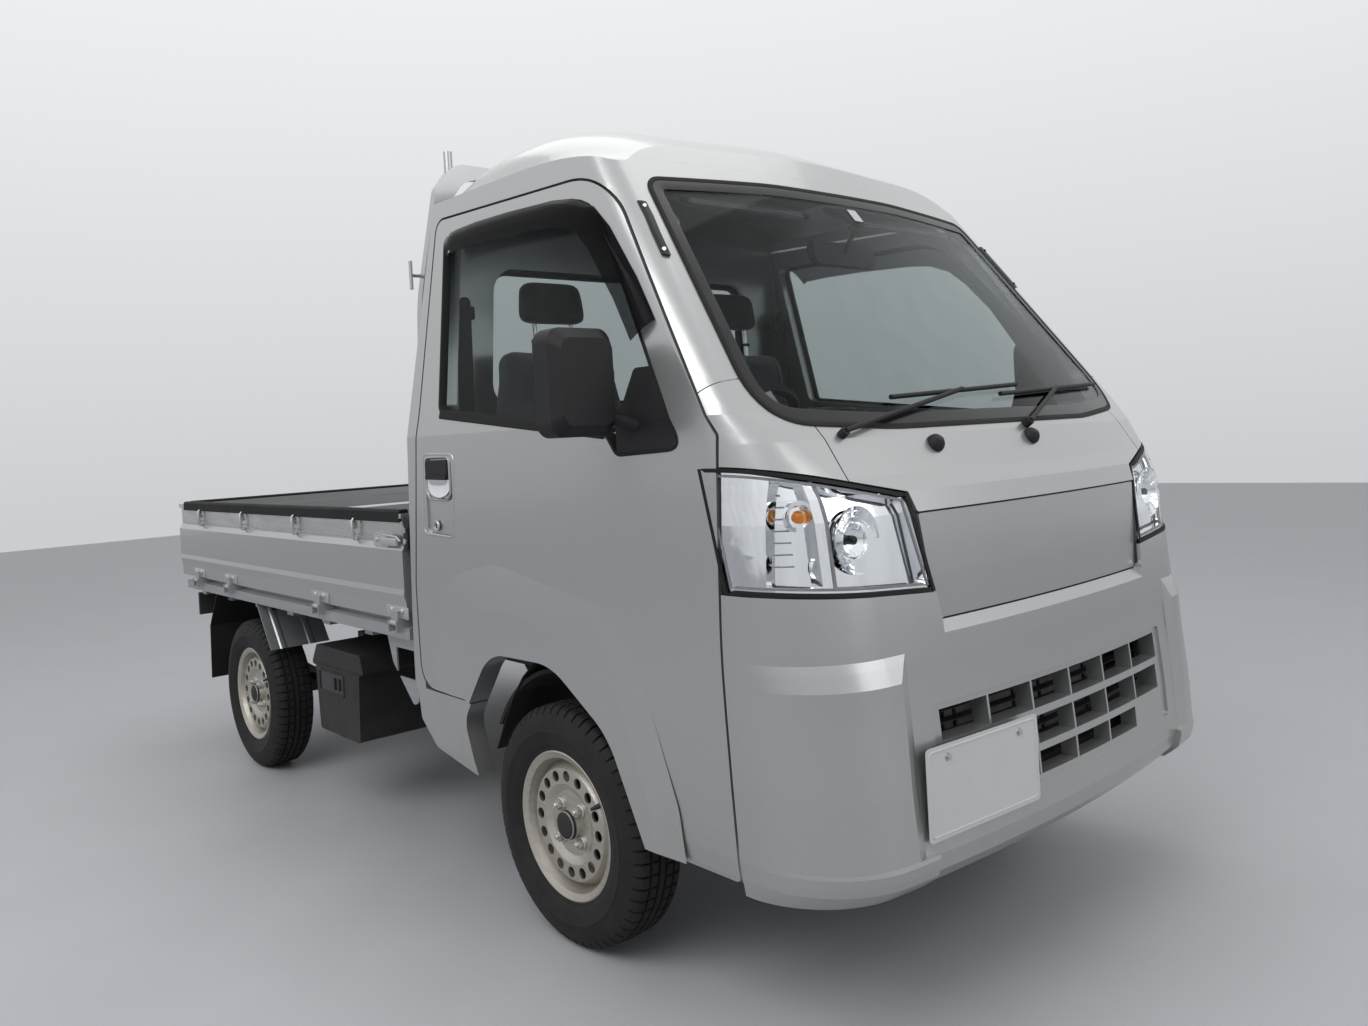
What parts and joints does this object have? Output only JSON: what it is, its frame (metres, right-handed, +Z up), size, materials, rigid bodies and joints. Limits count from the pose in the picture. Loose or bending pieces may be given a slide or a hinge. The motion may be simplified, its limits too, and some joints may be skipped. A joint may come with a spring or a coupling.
{
  "type": "kei truck",
  "caption": "Small cab-over pickup truck with a high roof, opening doors, a flat bed with drop sides, a guard frame, steered front wheels and spinning wheels.",
  "frame": {"origin": "on the ground below the centre of the vehicle's box", "axes": "+X forward along the vehicle, +Y to its left, +Z up"},
  "size_m": [3.3953, 1.835, 1.9219],
  "materials": {
    "paint": "silver metallic",
    "glass": "clear",
    "black_plastic": "matte",
    "frame_black": "matte",
    "engine_metal": "matte",
    "rim_steel": "satin",
    "tyre": "matte",
    "floor_grey": "matte",
    "dash_grey": "matte",
    "seat_fabric": "woven",
    "flap_rubber": "matte",
    "lamp_red": "gloss",
    "lamp_clear": "clear",
    "lamp_chrome": "polished"
  },
  "bodies": {
    "chassis": {"back_panel": "paint", "cab_shell": "paint", "roof_panel": "paint", "front_bumper": "paint", "front_panel": "paint", "nose_panel": "paint", "guard_frame": "paint", "bed": "paint", "windshield": "glass", "back_window": "glass", "side_box": "black_plastic", "wipers": "black_plastic", "rear_fenders": "black_plastic", "steering_column": "black_plastic", "ladder_frame": "frame_black", "rear_axle": "frame_black", "front_suspension": "frame_black", "front_structure": "frame_black", "fuel_tank": "frame_black", "engine_block": "engine_metal", "radiator": "engine_metal", "exhaust": "engine_metal", "cab_floor": "floor_grey", "dashboard": "dash_grey", "seat_cushions": "seat_fabric", "seat_backs": "seat_fabric", "mud_flaps": "flap_rubber", "tail_lamps": "lamp_red", "headlamp_lenses": "lamp_clear", "headlamp_housings": "lamp_chrome"},
    "door_left": {"door_left": "paint", "door_glass_left": "glass", "mirror_left": "black_plastic"},
    "door_right": {"door_right": "paint", "door_glass_right": "glass", "mirror_right": "black_plastic"},
    "gate_left": {"gate_left": "paint"},
    "gate_right": {"gate_right": "paint"},
    "tailgate": {"tailgate": "paint"},
    "knuckle_left": {"knuckle_left": "frame_black"},
    "knuckle_right": {"knuckle_right": "frame_black"},
    "steering_wheel": {"steering_wheel": "black_plastic"},
    "wheel_front_left": {"rim_front_left": "rim_steel", "tyre_front_left": "tyre"},
    "wheel_front_right": {"rim_front_right": "rim_steel", "tyre_front_right": "tyre"},
    "wheel_rear_left": {"rim_rear_left": "rim_steel", "tyre_rear_left": "tyre"},
    "wheel_rear_right": {"rim_rear_right": "rim_steel", "tyre_rear_right": "tyre"}
  },
  "joints": [
    {"name": "steer_right", "type": "hinge", "parent": "chassis", "child": "knuckle_right", "pos_m": [0.873, -0.575, 0.264], "axis": [0, 0.1392, 0.9903], "range_deg": [-35, 35]},
    {"name": "steer_left", "type": "hinge", "parent": "chassis", "child": "knuckle_left", "pos_m": [0.873, 0.575, 0.264], "axis": [0, -0.1392, 0.9903], "range_deg": [-35, 35]},
    {"name": "steering_wheel_turn", "type": "hinge", "parent": "chassis", "child": "steering_wheel", "pos_m": [1.06514, -0.345, 1.0849], "axis": [-0.6157, 0, 0.788], "range_deg": [-560, 560]},
    {"name": "wheel_front_left_spin", "type": "hinge", "parent": "knuckle_left", "child": "wheel_front_left", "pos_m": [0.873, 0.6525, 0.264], "axis": [0, 1, 0], "continuous": true},
    {"name": "wheel_front_right_spin", "type": "hinge", "parent": "knuckle_right", "child": "wheel_front_right", "pos_m": [0.873, -0.6525, 0.264], "axis": [0, 1, 0], "continuous": true},
    {"name": "wheel_rear_left_spin", "type": "hinge", "parent": "chassis", "child": "wheel_rear_left", "pos_m": [-1.027, 0.65, 0.264], "axis": [0, 1, 0], "continuous": true},
    {"name": "wheel_rear_right_spin", "type": "hinge", "parent": "chassis", "child": "wheel_rear_right", "pos_m": [-1.027, -0.65, 0.264], "axis": [0, 1, 0], "continuous": true},
    {"name": "door_left_swing", "type": "hinge", "parent": "chassis", "child": "door_left", "pos_m": [1.461, 0.7195, 0.605], "axis": [0, 0, -1], "range_deg": [0, 65]},
    {"name": "door_right_swing", "type": "hinge", "parent": "chassis", "child": "door_right", "pos_m": [1.461, -0.7195, 0.605], "axis": [0, 0, 1], "range_deg": [0, 65]},
    {"name": "gate_left_drop", "type": "hinge", "parent": "chassis", "child": "gate_left", "pos_m": [-0.7, 0.745, 0.648], "axis": [-1, 0, 0], "range_deg": [0, 180]},
    {"name": "gate_right_drop", "type": "hinge", "parent": "chassis", "child": "gate_right", "pos_m": [-0.7, -0.745, 0.648], "axis": [1, 0, 0], "range_deg": [0, 180]},
    {"name": "tailgate_drop", "type": "hinge", "parent": "chassis", "child": "tailgate", "pos_m": [-1.6905, 0, 0.648], "axis": [0, -1, 0], "range_deg": [0, 180]}
  ],
  "couplings": [
    {"joint": "steer_left", "follows": "steer_right", "ratio": 1},
    {"joint": "steering_wheel_turn", "follows": "steer_right", "ratio": 16}
  ]
}
